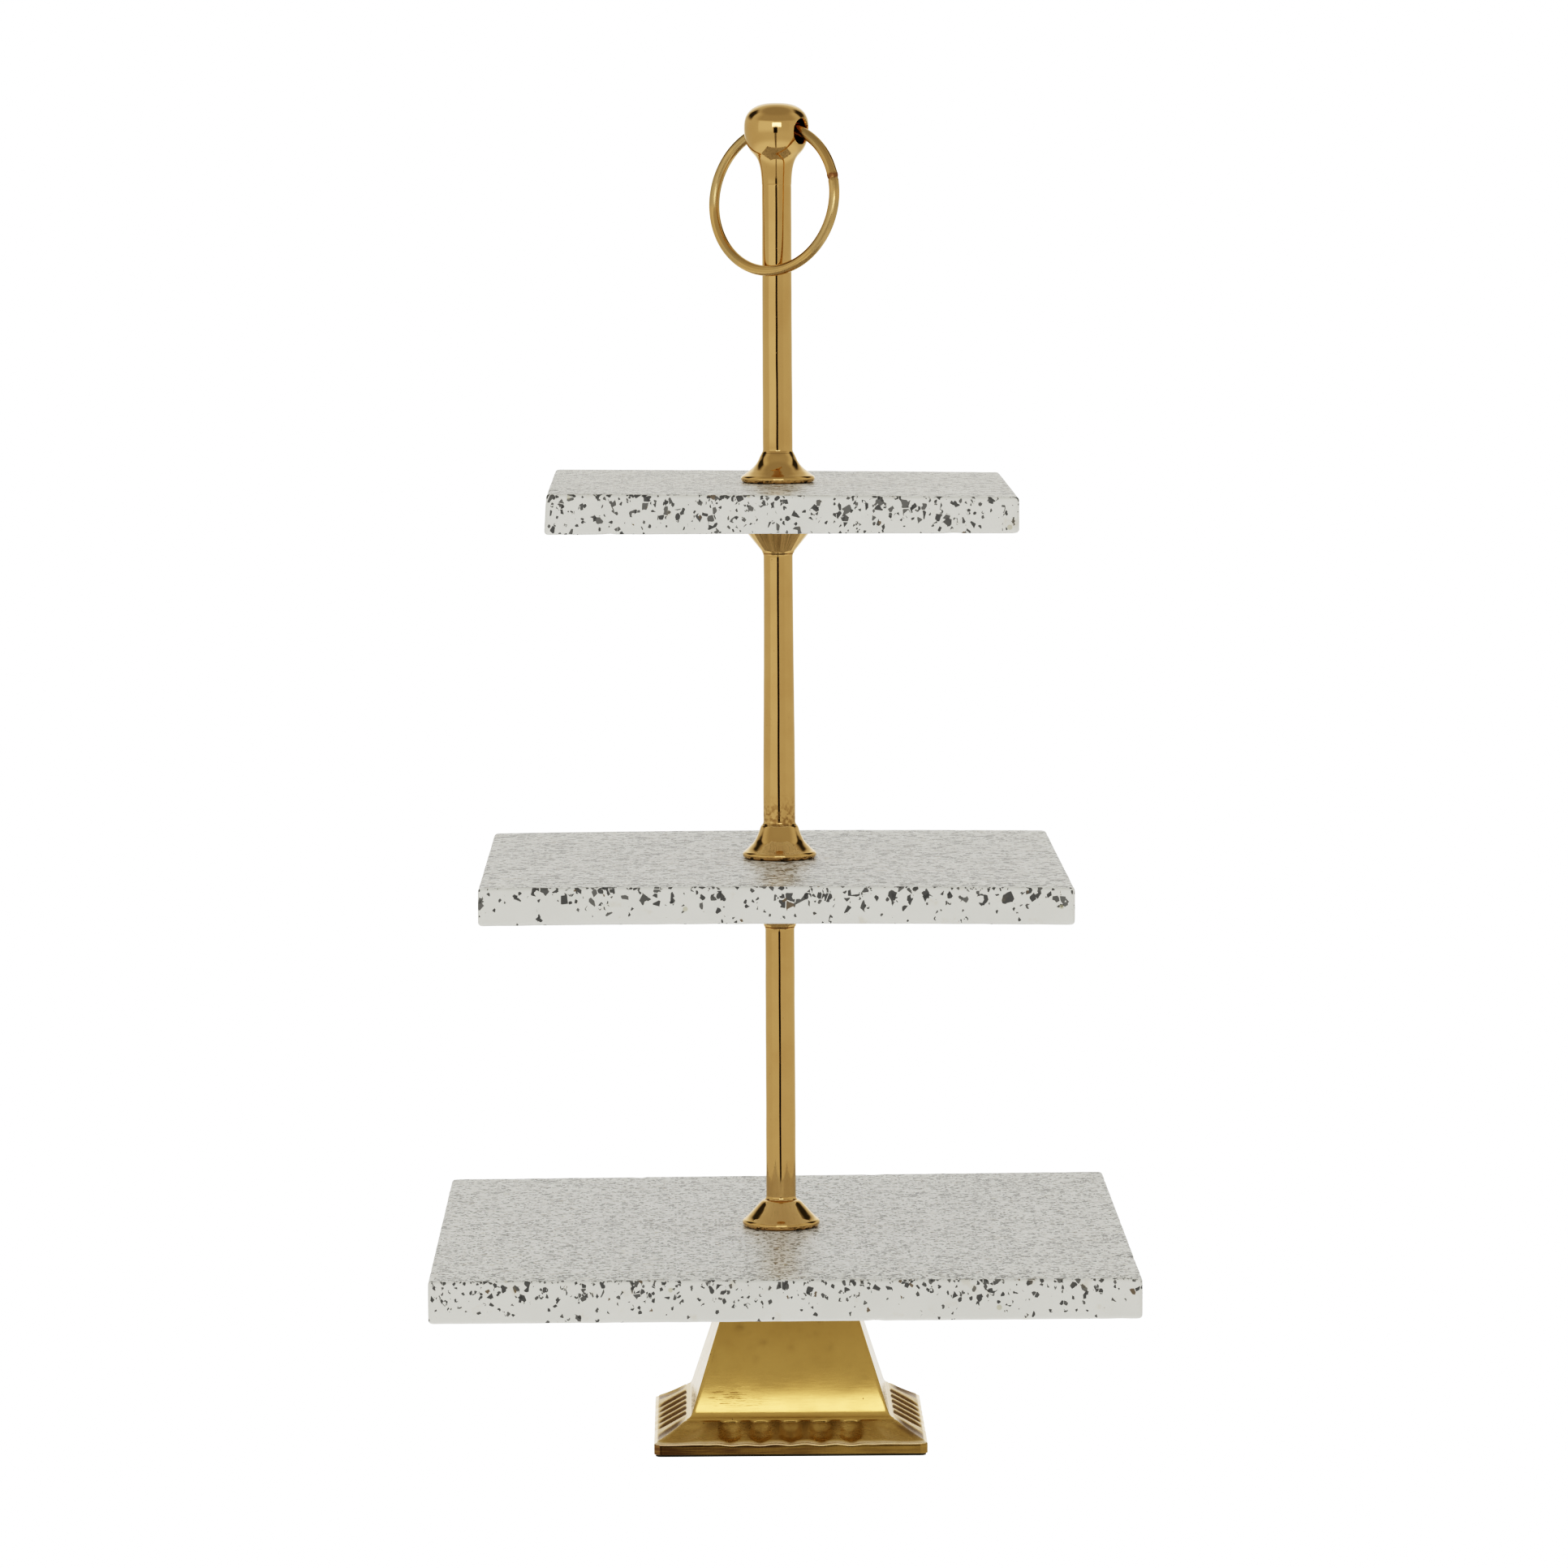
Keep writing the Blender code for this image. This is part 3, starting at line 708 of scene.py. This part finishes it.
def liftingRing():
    # the CAD wire's own points give the ring's centre, plane and size
    shape = ringShape
    spots = [vertex.co / mm for vertex in frame["nodes"]["lifting_ring"].data.vertices]
    centre = sum(spots, Vector()) / len(spots)
    along = hingeLine if hingeLine.x > 0 else -hingeLine
    facing = along.cross((hingeAt - centre) - along * (hingeAt - centre).dot(along)).normalized()
    upward = facing.cross(along)
    reach = max((spot - centre).dot(along) for spot in spots)
    wire = max((spot - centre).dot(facing) for spot in spots)
    ringR = reach - wire
    weldAt = math.radians(shape["weldAt"])
    loops = []
    weld = []
    for i in range(shape["steps"]):
        turn = math.tau * i / shape["steps"]
        outward = along * math.cos(turn) + upward * math.sin(turn)
        waver = Vector((math.cos(turn), math.sin(turn), 0))
        off = math.degrees(turn - weldAt)
        near = math.exp(-(off / 3.4) ** 2)
        thick = wire - 0.03 + shape["waver"] * noise.noise(waver * 4) * 0.5
        thick += shape["weldBulge"] * near - shape["weldNotch"] * math.exp(-((off + 2.0) / 0.9) ** 2)
        path = centre + outward * (ringR + shape["stray"] * noise.noise(waver * 1.7) * 0.5)
        loop = []
        for j in range(shape["round"]):
            roll = math.tau * j / shape["round"]
            loop.append(path + (outward * math.cos(roll) + facing * math.sin(roll)) * thick)
            weld.append(math.exp(-((off + 0.5) / 3.6) ** 2))
        loops.append(loop)
    piece = skin("lifting_ring_wire", loops, ringFinish(), marks={"weld": weld})
    hang(piece, "ring", "polished_brass", "lifting_ring")


liftingRing()
print("ring bent")


# cast foot: heights above the table and half widths, in mm
footShape = {
    "half": 60.3, "rimTop": 5.9, "crease": 46.7, "creaseHigh": 13.5, "cornerOut": 2.5, "cornerIn": 1.1,
    "neckTop": 24.8, "neckLow": 13.9, "slope": 0.318,
    "cove": 2.3, "coveHigh": 0.55,      # how far the neck spreads where it meets the band
    "flutes": 5, "pitch": 13.2, "fluteHalf": 5.3, "fluteDeep": 2.1, "fluteEnd": 6.6, "fluteRound": 1.4,
    "scoopDeep": 1.2, "scoopRim": 42.4, "scoopCrease": 35.8, "wave": 0.55,
    "wall": 4.5, "plate": 5.0, "stray": 0.045,
    "steps": 120, "arcSteps": 6, "bandSteps": 30, "neckSteps": 40,
}


footLook = {
    "colour": (0.585, 0.42, 0.175), "deep": (0.545, 0.385, 0.155), "band": (0.50, 0.38, 0.20),
    # the first two colours on the next line are painted shade: on the ridge tops between the middle
    # flutes and in the flutes of the left and right sides
    "ridgeShade": (0.27, 0.19, 0.085), "sideFluteShade": (0.19, 0.12, 0.07), "mottle": (0.44, 0.28, 0.12),
    # on the next line: the first colour darkens the rim, most at its left end; the second is a painted
    # highlight for the rim's top edge
    "rimDark": (0.26, 0.15, 0.09), "worn": (0.93, 0.80, 0.62), "mark": (0.12, 0.07, 0.03),
    "rough": 0.09, "bandRough": 0.16,
    "scratched": (-34, -8, 19, 28),     # left, right, low and high end of the scratched patch, in mm
}


def footFinish():
    look = footLook
    finish = newFinish("castBrass")
    place = finish.place()
    hollow = finish.node("ShaderNodeAttribute", {"attribute_name": "hollow"}, output="Fac")
    # the edge mark says where the painted highlight on the rim's top edge goes
    edge = finish.node("ShaderNodeAttribute", {"attribute_name": "edge"}, output="Fac")
    across = finish.node("ShaderNodeMath", {"operation": "ABSOLUTE"}, {0: place.part(0)})
    deep = finish.node("ShaderNodeMath", {"operation": "ABSOLUTE"}, {0: place.part(1)})
    onSides = (across - deep).ramp(-1.0, 3.0)
    band = place.part(2).ramp(12.6, 14.4, 1.0, 0.0) * place.part(2).ramp(5.0, 6.4)
    clouds = finish.clouds(place, 16.0, 4.0).ramp(0.35, 0.70)
    mottle = finish.clouds(place + (9, 0, 4), 2.2, 4.0, 0.6)
    brushed = finish.clouds(place * (0.12, 0.12, 2.2), 1.0, 3.0, 0.6)
    upDown = finish.clouds(place * (1.8, 1.8, 0.06), 1.0, 3.0, 0.6)
    colour = finish.mix(clouds * 0.4, look["colour"], look["deep"])
    colour = finish.mix(band * 0.35, colour, look["band"])
    inMiddle = across.ramp(31, 37, 1.0, 0.0)
    # painted shade on the ridge tops between the middle flutes, just under the crease
    ridgeShade = place.part(2).ramp(9.0, 13.0) * hollow.ramp(0.05, 0.75, 1.0, 0.0) * inMiddle * (1 - onSides)
    ridgeShade = ridgeShade * place.part(2).ramp(13.0, 13.6, 1.0, 0.0)
    colour = finish.mix(ridgeShade * 0.55, colour, look["ridgeShade"])
    # painted shade in the flute hollows of the left and right sides only
    colour = finish.mix(hollow.ramp(0.03, 0.22) * onSides * 0.90, colour, look["sideFluteShade"])
    colour = finish.mix(mottle.ramp(0.45, 0.75) * (0.08 + band * 0.25), colour, look["mottle"])
    # the rim is darkened in streaks, most at its left end
    rim = place.part(2).ramp(5.2, 5.9, 1.0, 0.0)
    rimStreaks = finish.clouds(place * (0.05, 0.05, 0.9), 1.0, 3.0).ramp(0.38, 0.62)
    leftHeavy = place.part(0).ramp(-30, 30, 1.0, 0.35)
    colour = finish.mix(rim * leftHeavy * (0.30 + rimStreaks * 0.6), colour, look["rimDark"])
    # painted highlight along the rim's rounded top edge, paler where the mottle is high
    colour = finish.mix(edge * (0.5 + mottle * 0.5), colour, look["worn"])
    pitCells = finish.cells(place * (1 / 3.2), "F1")
    pit = pitCells.ramp(0.10, 0.05) * (pitCells.other("Color").part(0) < 0.10)
    scratchWay = place * (0.16, 0.5, 3.4)
    left, right, low, high = look["scratched"]
    scratchNear = place.part(0).ramp(left, left + 4) * place.part(0).ramp(right - 6, right, 1.0, 0.0)
    scratchNear = scratchNear * place.part(2).ramp(low, low + 2)
    scratchNear = scratchNear * place.part(2).ramp(high - 3, high, 1.0, 0.0)
    scratch = finish.clouds(scratchWay, 1.0, 2.0).ramp(0.60, 0.68) * scratchNear
    marked = pit + scratch * 0.6
    colour = finish.mix(marked * 0.8, colour, look["mark"])
    rough = look["rough"] + band * look["bandRough"] + clouds * 0.03
    rough = rough + brushed.ramp(0.3, 0.8) * 0.06 + pit * 0.3
    height = brushed * 0.002 + upDown * 0.002 + mottle * (0.003 + band * 0.003) - marked * 0.06
    return finish.surface(Base_Color=colour, Metallic=1.0, Roughness=rough,
                          Normal=finish.bump(height, 1.0))


def castFoot():
    shape = footShape
    low, high = boxOf("base_foot")
    centre = Vector(((low.x + high.x) / 2, (low.y + high.y) / 2))
    pole = -centre
    run = shape["half"] - shape["crease"]
    rise = shape["creaseHigh"] - shape["rimTop"]
    slant = math.hypot(run, rise)
    outPart, upPart = rise / slant, run / slant             # the band's own outward direction

    def fluteAt(along, way):                                # how deep the band is cut, in mm
        deep = 0.0
        fade = 1 - 0.35 * smooth(0.66, 1.0, way)
        for k in range(shape["flutes"]):
            across = (along - (k - (shape["flutes"] - 1) / 2) * shape["pitch"]) / shape["fluteHalf"]
            below = max(0.0, shape["fluteEnd"] - way * slant) / shape["fluteHalf"]
            reach = across * across + below * below
            if reach < 1:
                deep = shape["fluteDeep"] * (1 - reach) ** shape["fluteRound"] * fade
        inner = shape["scoopRim"] + (shape["scoopCrease"] - shape["scoopRim"]) * way
        outer = shape["half"] - run * way - 0.5
        share = (abs(along) - inner) / (outer - inner)
        if 0 < share < 1:
            arched = smooth(0, 0.5, way) * (1 - smooth(0.70, 0.98, way))
            deep += shape["scoopDeep"] * math.sin(math.pi * share) * (0.30 + 0.70 * arched) * fade
        return deep

    def rimWave(along):
        lap = math.cos(math.tau * along / shape["pitch"]) * 0.5 + 0.5
        inside = 1 - smooth(32, 40, abs(along))
        return shape["wave"] * (lap * inside + 0.7 * noise.noise(Vector((along / 14, 3.3, 1.0))))

    def neckHalf(z):
        cove = shape["cove"] * math.exp((shape["neckLow"] - z) / shape["coveHigh"])
        return shape["neckTop"] + shape["slope"] * (high.z - z) + cove

    loops = []
    hollow = []
    bright = []

    def addLoop(half, corner, z, wave=0.0, way=None, keep=1.0, rough=1.0, edge=0.0):
        loop = []
        walk = squareWalk(half, corner, shape["steps"], shape["arcSteps"])
        perSide = shape["steps"] + shape["arcSteps"]
        for number, (spot, outward) in enumerate(walk):
            side, place = divmod(number, perSide)
            straight = half - corner
            along = -straight + 2 * straight * min(1.0, place / shape["steps"])
            deep = fluteAt(along, way) * keep if way is not None else 0.0
            stray = shape["stray"] * rough * noise.noise(Vector((spot.x / 17, spot.y / 17, z / 17)))
            flat = spot + outward * (stray - deep * outPart)
            height = z - deep * upPart - wave * rimWave(along + 0.6 * side)
            loop.append(Vector((flat.x + centre.x, flat.y + centre.y, height)))
            hollow.append(min(1.0, deep / shape["fluteDeep"]))
            bright.append(edge)
        loops.append(loop)

    half, rimTop = shape["half"], shape["rimTop"]
    wide, tight = shape["cornerOut"], shape["cornerIn"]
    bottom = low.z
    addLoop(half - shape["wall"], wide * 0.5, bottom, rough=0)
    for inset, up in ((0.5, 0.0), (0.25, 0.07), (0.1, 0.2), (0.1, 0.5)):
        addLoop(half - inset, wide, bottom + up, rough=0)
    for share in (0.25, 0.5, 0.7, 0.85):
        addLoop(half - 0.1, wide, bottom + 0.5 + (rimTop - 1.3 - bottom) * share, share * share, rough=0)
    # the rim's rounded top edge: all but its lowest loop are marked for the painted highlight
    for inset, drop in ((0.1, 0.75), (0.22, 0.40), (0.45, 0.17), (0.8, 0.03), (1.2, -0.10)):
        addLoop(half - inset, wide, rimTop - drop, 1.0, rough=0.3, edge=0.0 if inset == 0.1 else 1.0)
    for k in range(1, shape["bandSteps"] + 1):
        way = k / shape["bandSteps"]
        if half - run * way > half - 1.4:
            continue
        corner = wide + (tight - wide) * way
        addLoop(half - run * way, corner, rimTop + rise * way, 1 - smooth(0.05, 0.4, way), way)
    neckStart = shape["neckLow"] + 0.25
    drop = shape["crease"] - neckHalf(neckStart)
    for share, up, keep in ((0.30, 0.03, 0.35), (0.60, 0.12, 0.0), (0.86, 0.33, 0.0), (0.96, 0.55, 0.0)):
        addLoop(shape["crease"] - drop * share, tight, shape["creaseHigh"] + up, 0.0, 1.0, keep)
    top = high.z
    for k in range(shape["neckSteps"] + 1):                 # closer together low down, over the cove
        z = neckStart + (top - 0.5 - neckStart) * (k / shape["neckSteps"]) ** 1.35
        addLoop(neckHalf(z), tight, z)
    edge = neckHalf(top)
    addLoop(edge - 0.1, tight, top - 0.15, rough=0.5)
    addLoop(edge - 0.45, tight, top, rough=0)
    walk = squareWalk(edge - 0.45, tight, shape["steps"], shape["arcSteps"])
    ceiling = top - shape["plate"]
    size = turnedSize
    for radius, z in ((size["padRoom"], top), (size["padRoom"], top - size["padDepth"]),
                      (size["studHole"], top - size["padDepth"]), (size["studHole"], ceiling)):
        ring = onCircle(walk, radius, pole)
        loops.append([Vector((spot.x + centre.x, spot.y + centre.y, z)) for spot in ring])
        hollow += [0.0] * len(ring)
        bright += [0.0] * len(ring)
    for inside, z in ((edge - 3.0, ceiling), (shape["crease"] - shape["wall"], shape["creaseHigh"] - 3.0),
                      (half - shape["wall"], 5.2)):
        addLoop(inside, wide * 0.5, z, rough=0)
    piece = skin("base_foot_cast", loops, footFinish(), 48.0, marks={"hollow": hollow, "edge": bright})
    hang(piece, "stand", "cast_brass", "base_foot")


castFoot()
print("foot cast")


# finishes for the CAD pieces that stay as they are
def steelFinish():
    finish = newFinish("zincSteel")
    place = finish.place()
    clouds = finish.clouds(place, 4.0, 4.0).ramp(0.35, 0.7)
    thread = finish.node("ShaderNodeTexWave", {"bands_direction": "Z", "wave_profile": "TRI"},
                         {"Vector": place, "Scale": 0.314, "Distortion": 0.0})
    colour = finish.mix(clouds, (0.55, 0.55, 0.53), (0.42, 0.42, 0.41))
    return finish.surface(Base_Color=colour, Metallic=1.0, Roughness=0.28 + clouds * 0.14,
                          Normal=finish.bump(thread + clouds * 0.2, 0.35))


def rubberFinish():
    finish = newFinish("rubberPad")
    place = finish.place()
    grain = finish.clouds(place, 0.4, 3.0)
    bloom = finish.clouds(place, 5.0, 3.0).ramp(0.4, 0.8)
    colour = finish.mix(bloom * 0.5, (0.028, 0.028, 0.029), (0.075, 0.073, 0.07))
    return finish.surface(Base_Color=colour, Roughness=0.62 + grain * 0.2,
                          Normal=finish.bump(grain, 0.05))


def feltFinish():
    finish = newFinish("darkFelt")
    place = finish.place()
    fibre = finish.clouds(place * (1.0, 1.0, 3.0), 0.25, 5.0, 0.7)
    tufts = finish.clouds(place, 2.6, 3.0)
    colour = finish.mix(fibre, (0.035, 0.034, 0.030), (0.12, 0.115, 0.10))
    return finish.surface(Base_Color=colour, Roughness=0.90 + tufts * 0.08,
                          Normal=finish.bump(fibre + tufts * 0.5, 0.15), Sheen_Weight=0.4)


steel, rubber, felt = steelFinish(), rubberFinish(), feltFinish()
for name, node in frame["nodes"].items():
    if node.hide_render:
        continue
    chosen = felt if "felt" in name else rubber if "pad" in name else steel
    for place in node.material_slots:
        place.material = chosen
print("hidden pieces finished")


# camera: where it stands, in mm from the pole's foot, and how it is turned, in degrees
cameraSetUp = {"place": (2.12, -3136.6, 582.3), "down": 5.297, "round": -0.687, "roll": -0.252,
               "lens": 162.71, "sensor": 36.0}


def setCamera():
    setUp = cameraSetUp
    lens = bpy.data.cameras.new("camera")
    lens.lens = setUp["lens"]
    lens.sensor_width = setUp["sensor"]
    lens.clip_end = 50.0
    camera = bpy.data.objects.new("camera", lens)
    bpy.context.scene.collection.objects.link(camera)
    turn = Matrix.Rotation(math.radians(setUp["round"]), 4, "Z")
    tilt = Matrix.Rotation(math.radians(90.0 - setUp["down"]), 4, "X")
    roll = Matrix.Rotation(math.radians(setUp["roll"]), 4, "Z")
    camera.matrix_world = turn @ Matrix.Translation(Vector(setUp["place"]) * mm) @ tilt @ roll
    bpy.context.scene.camera = camera


# studio: brightness by direction; azimuth 0 is straight in front of the stand and grows to the
# right, and each soft box is (left, right, low, high, brightness, width of its soft edge) in degrees
studio = {
    "side": 0.415, "back": 0.68, "highFront": 0.31, "floor": 0.54, "overhead": 0.36,
    "overheadShine": 0.27,  # the overhead light as polished metal sees it
    "onMatt": 1.05,         # how much more light reaches matt surfaces
    "boxes": [(-68, -12, -5, 20, 0.52, 5), (8, 48, -5, 20, 0.39, 5), (-7, 0, -60, -9, 0.15, 0.8),
              (-10, 3, -9, 5, 0.015, 0.8), (-142, -108, 18, 48, 0.05, 7), (108, 142, 18, 48, 0.05, 7)],
    "warm": (1.0, 0.965, 0.83), "cool": (1.0, 1.0, 1.0),     # tint of its dim and its bright parts
    "backdrop": 1.0,        # what the camera itself sees behind the stand
    # the near front panel, in metres and watts: ahead of the stand, and from one height to the other
    "panelAhead": 2.0, "panelWide": 1.15, "panelLow": 0.68, "panelHigh": 1.12, "panelPower": 1.95,
}


def lightStudio():
    world = bpy.data.worlds.new("studio")
    bpy.context.scene.world = world
    sky = Finish(world)
    way = sky.node("ShaderNodeTexCoord", output="Generated")
    x, y, z = way.part(0), way.part(1), way.part(2)
    degrees = 180 / math.pi
    azimuth = sky.node("ShaderNodeMath", {"operation": "ARCTAN2"}, {0: x, 1: 0 - y}) * degrees
    height = sky.node("ShaderNodeMath", {"operation": "ARCSINE"}, {0: z}) * degrees
    around = sky.node("ShaderNodeMath", {"operation": "ABSOLUTE"}, {0: azimuth})

    def blend(mask, under, over):
        return under + mask * (over - under)

    light = blend(around.ramp(148, 164) * height.ramp(25, 45, 1.0, 0.0), studio["side"], studio["back"])
    high = height.ramp(16, 25) * around.ramp(60, 95, 1.0, 0.0)
    light = blend(high, light, studio["highFront"])
    shiny = sky.node("ShaderNodeLightPath", output="Is Glossy Ray")
    light = blend(height.ramp(45, 65), light, blend(shiny, studio["overhead"], studio["overheadShine"]))
    light = blend(height.ramp(-22, -42), light, studio["floor"])
    for left, right, bottom, top, level, soft in studio["boxes"]:
        inside = azimuth.ramp(left - soft, left + soft)
        inside = inside * azimuth.ramp(right - soft, right + soft, 1.0, 0.0)
        inside = inside * height.ramp(bottom - soft, bottom + soft)
        inside = inside * height.ramp(top - soft, top + soft, 1.0, 0.0)
        light = blend(inside, light, level)
    seen = sky.node("ShaderNodeLightPath", output="Is Camera Ray")
    tint = sky.mix(light.ramp(0.25, 0.90), studio["warm"], studio["cool"])
    colour = sky.mix(seen, tint, (1.0, 1.0, 1.0))
    strength = blend(seen, light * blend(shiny, studio["onMatt"], 1.0), studio["backdrop"])
    glow = sky.node("ShaderNodeBackground", {}, {"Color": colour, "Strength": strength})
    sky.node("ShaderNodeOutputWorld", {}, {"Surface": glow})
    panel = bpy.data.lights.new("frontPanel", "AREA")
    panel.shape = "RECTANGLE"
    panel.size = studio["panelWide"]
    panel.size_y = studio["panelHigh"] - studio["panelLow"]
    panel.energy = studio["panelPower"]
    hung = bpy.data.objects.new("frontPanel", panel)
    hung.location = (0.03, -studio["panelAhead"], (studio["panelHigh"] + studio["panelLow"]) / 2)
    hung.rotation_euler = (math.radians(90.0), 0.0, 0.0)
    hung.visible_camera = False
    bpy.context.scene.collection.objects.link(hung)


def layFloor():
    finish = newFinish("paleFloor")
    seen = finish.node("ShaderNodeLightPath", output="Is Camera Ray")
    matt = finish.node("ShaderNodeBsdfDiffuse", {}, {"Color": (0.9, 0.9, 0.9)})
    glow = finish.node("ShaderNodeEmission", {}, {
        "Color": (1.0, 1.0, 1.0), "Strength": studio["backdrop"]})
    both = finish.node("ShaderNodeMixShader", {}, {0: seen, 1: matt, 2: glow})
    finish.node("ShaderNodeOutputMaterial", {}, {"Surface": both})
    reach = 4000.0
    corners = [(-reach, -reach, -0.2), (reach, -reach, -0.2), (reach, reach, -0.2), (-reach, reach, -0.2)]
    floor = meshPiece("floor", corners, [(0, 1, 2, 3)], finish.owner, 50.0)
    floor.visible_diffuse = False
    floor.visible_glossy = False
    floor.visible_shadow = False


# film-like response: a soft toe, a steep middle and a slow shoulder up to white
filmLook = {"steep": 1.8, "shoulder": 0.2, "points": 12, "crowd": 1.5}


def developPicture():
    view = bpy.context.scene.view_settings
    view.view_transform = "Standard"
    view.look = "None"
    view.use_curve_mapping = True
    curve = view.curve_mapping.curves[3]
    for k in range(1, filmLook["points"]):
        light = (k / filmLook["points"]) ** filmLook["crowd"]
        bent = light ** filmLook["steep"]
        curve.points.new(light, bent * (1 + filmLook["shoulder"]) / (bent + filmLook["shoulder"]))
    view.curve_mapping.update()


setCamera()
lightStudio()
layFloor()
developPicture()
print("camera, studio and floor set")
